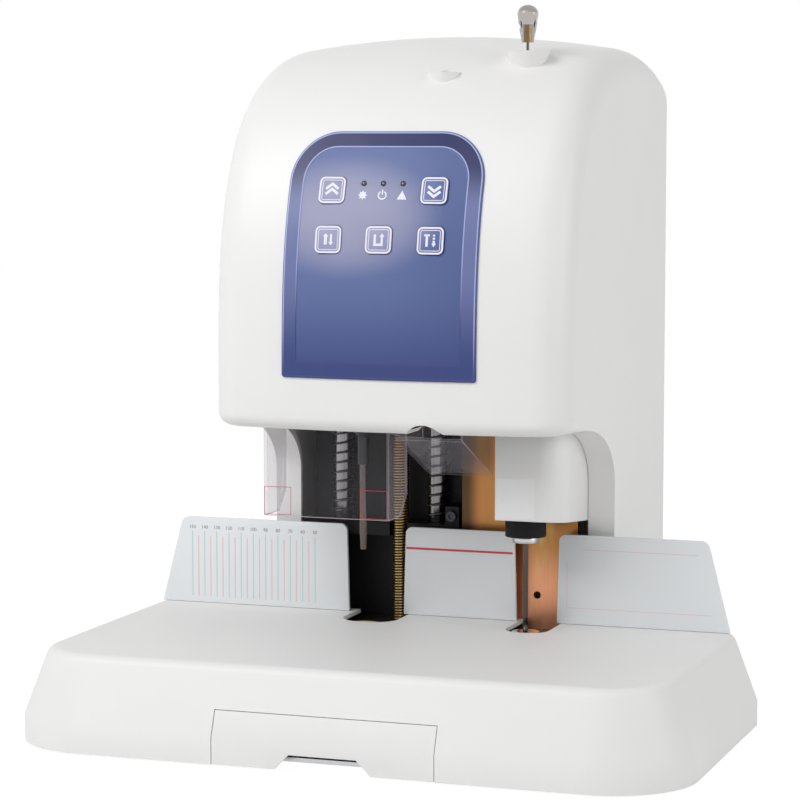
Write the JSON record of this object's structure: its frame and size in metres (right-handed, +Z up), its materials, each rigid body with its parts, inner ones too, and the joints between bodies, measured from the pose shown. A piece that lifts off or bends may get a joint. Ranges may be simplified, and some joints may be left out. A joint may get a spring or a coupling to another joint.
{
  "type": "document riveting machine",
  "caption": "Desk machine that drills a stack of paper on its platform with a motor-driven hollow drill and fastens it with a heat-formed nylon tube rivet.",
  "frame": {"origin": "on the table under the middle of the machine's bounding box", "axes": "+Z up, -Y towards the user, +X to the user's right"},
  "size_m": [0.482, 0.401, 0.5145],
  "materials": {
    "white_abs": "moulded warm white shell",
    "panel_blue": "dark blue film panel",
    "button_blue": "dark blue membrane key",
    "lamp_dark": "dark lamp lens",
    "clear": "clear plastic",
    "black_steel": "blackened steel",
    "zinc_yellow": "yellow zinc plated steel",
    "bright_steel": "ground bright steel",
    "spring_steel": "dark spring wire",
    "brass": "machined brass",
    "black_plastic": "black moulding",
    "black_rubber": "black rubber",
    "pad_beige": "beige drilling pad",
    "motor_grey": "grey motor can",
    "aluminium": "machined aluminium",
    "board_green": "green circuit board"
  },
  "bodies": {
    "machine": {"base_shell": "white_abs", "chassis_plate": "bright_steel", "foot_front_left": "black_rubber", "foot_front_right": "black_rubber", "foot_rear_left": "black_rubber", "foot_rear_right": "black_rubber", "fence_left": "white_abs", "fence_middle": "white_abs", "fence_right": "white_abs", "housing_shell": "white_abs", "rear_cover": "white_abs", "control_panel": "panel_blue", "indicator_lenses": "lamp_dark", "power_inlet": "black_plastic", "back_plate": "black_steel", "rivet_plate": "zinc_yellow", "cross_plate": "black_steel", "top_plate": "bright_steel", "anvil_beam": "black_steel", "clamp_bolt": "bright_steel", "cutting_pad": "pad_beige", "rivet_anvil": "bright_steel", "guide_post_left": "bright_steel", "guide_post_right": "bright_steel", "spring_left": "spring_steel", "spring_right": "spring_steel", "press_motor": "motor_grey", "drive_belt": "black_rubber", "rivet_rod_left": "bright_steel", "rivet_rod_right": "bright_steel", "rivet_motor": "motor_grey", "rivet_head_cover": "white_abs", "needle_bush": "black_plastic", "tube_guide": "aluminium", "safety_guard": "clear", "tube_tray": "clear", "power_supply": "aluminium", "main_board": "board_green"},
    "paper_bin": {"paper_bin": "white_abs"},
    "drill_carriage": {"drill_carriage": "aluminium", "carriage_nut": "brass", "drill_motor": "motor_grey"},
    "drill_spindle": {"drill_chuck": "bright_steel", "drill_bit": "bright_steel"},
    "lead_screw": {"lead_screw": "brass"},
    "motor_pulley": {"motor_pulley": "black_plastic"},
    "rivet_head": {"rivet_slide": "aluminium", "heater_block": "aluminium", "rivet_insulator": "black_plastic", "rivet_die": "bright_steel"},
    "rivet_screw": {"rivet_screw": "bright_steel"},
    "guide_needle": {"guide_needle": "bright_steel", "needle_knob": "clear"},
    "up_button": {"up_button": "button_blue"},
    "down_button": {"down_button": "button_blue"},
    "drill_button": {"drill_button": "button_blue"},
    "reset_button": {"reset_button": "button_blue"},
    "rivet_button": {"rivet_button": "button_blue"},
    "power_switch": {"power_switch": "black_plastic"},
    "cutter_arm": {"cutter_arm": "bright_steel"}
  },
  "joints": [
    {"name": "paper_bin_slide", "type": "slide", "parent": "machine", "child": "paper_bin", "axis": [0, -1, 0], "range_m": [0, 0.18]},
    {"name": "carriage_slide", "type": "slide", "parent": "machine", "child": "drill_carriage", "axis": [0, 0, -1], "range_m": [0, 0.056], "deforming": ["spring_left", "spring_right"]},
    {"name": "spindle_turn", "type": "hinge", "parent": "drill_carriage", "child": "drill_spindle", "pos_m": [-0.0464, 0.0099, 0.183], "axis": [0, 0, 1], "continuous": true},
    {"name": "lead_screw_turn", "type": "hinge", "parent": "machine", "child": "lead_screw", "pos_m": [-0.0349, 0.0605, 0.0498], "axis": [0, 0, 1], "range_deg": [0, 9602]},
    {"name": "motor_pulley_turn", "type": "hinge", "parent": "machine", "child": "motor_pulley", "pos_m": [-0.0349, 0.1255, 0.4423], "axis": [0, 0, 1], "range_deg": [0, 17070]},
    {"name": "rivet_head_slide", "type": "slide", "parent": "machine", "child": "rivet_head", "axis": [0, 0, -1], "range_m": [0, 0.058]},
    {"name": "rivet_screw_turn", "type": "hinge", "parent": "machine", "child": "rivet_screw", "pos_m": [0.0778, 0.0395, 0.1663], "axis": [0, 0, 1], "range_deg": [0, 5221]},
    {"name": "guide_needle_lift", "type": "slide", "parent": "machine", "child": "guide_needle", "axis": [0, 0, 1], "range_m": [0, 0.06]},
    {"name": "power_switch_rock", "type": "hinge", "parent": "machine", "child": "power_switch", "pos_m": [0.036, 0.1987, 0.042], "axis": [1, 0, 0], "range_deg": [-6, 6]},
    {"name": "cutter_arm_swing", "type": "hinge", "parent": "machine", "child": "cutter_arm", "pos_m": [0.0443, -0.0147, 0.2273], "axis": [0, 0, -1], "range_deg": [0, 60]},
    {"name": "up_button_press", "type": "slide", "parent": "machine", "child": "up_button", "axis": [0, 0.9492, -0.3146], "range_m": [0, 0.0005], "stiffness_N_per_m": 1500, "springref_m": -0.001},
    {"name": "down_button_press", "type": "slide", "parent": "machine", "child": "down_button", "axis": [0, 0.9492, -0.3146], "range_m": [0, 0.0005], "stiffness_N_per_m": 1500, "springref_m": -0.001},
    {"name": "drill_button_press", "type": "slide", "parent": "machine", "child": "drill_button", "axis": [0, 0.9833, -0.1817], "range_m": [0, 0.0005], "stiffness_N_per_m": 1500, "springref_m": -0.001},
    {"name": "reset_button_press", "type": "slide", "parent": "machine", "child": "reset_button", "axis": [0, 0.9833, -0.1817], "range_m": [0, 0.0005], "stiffness_N_per_m": 1500, "springref_m": -0.001},
    {"name": "rivet_button_press", "type": "slide", "parent": "machine", "child": "rivet_button", "axis": [0, 0.9833, -0.1817], "range_m": [0, 0.0005], "stiffness_N_per_m": 1500, "springref_m": -0.001}
  ],
  "couplings": [
    {"joint": "lead_screw_turn", "follows": "carriage_slide", "rad_per_m": 2992},
    {"joint": "motor_pulley_turn", "follows": "carriage_slide", "rad_per_m": 5319.1},
    {"joint": "rivet_screw_turn", "follows": "rivet_head_slide", "rad_per_m": 1570.8}
  ]
}
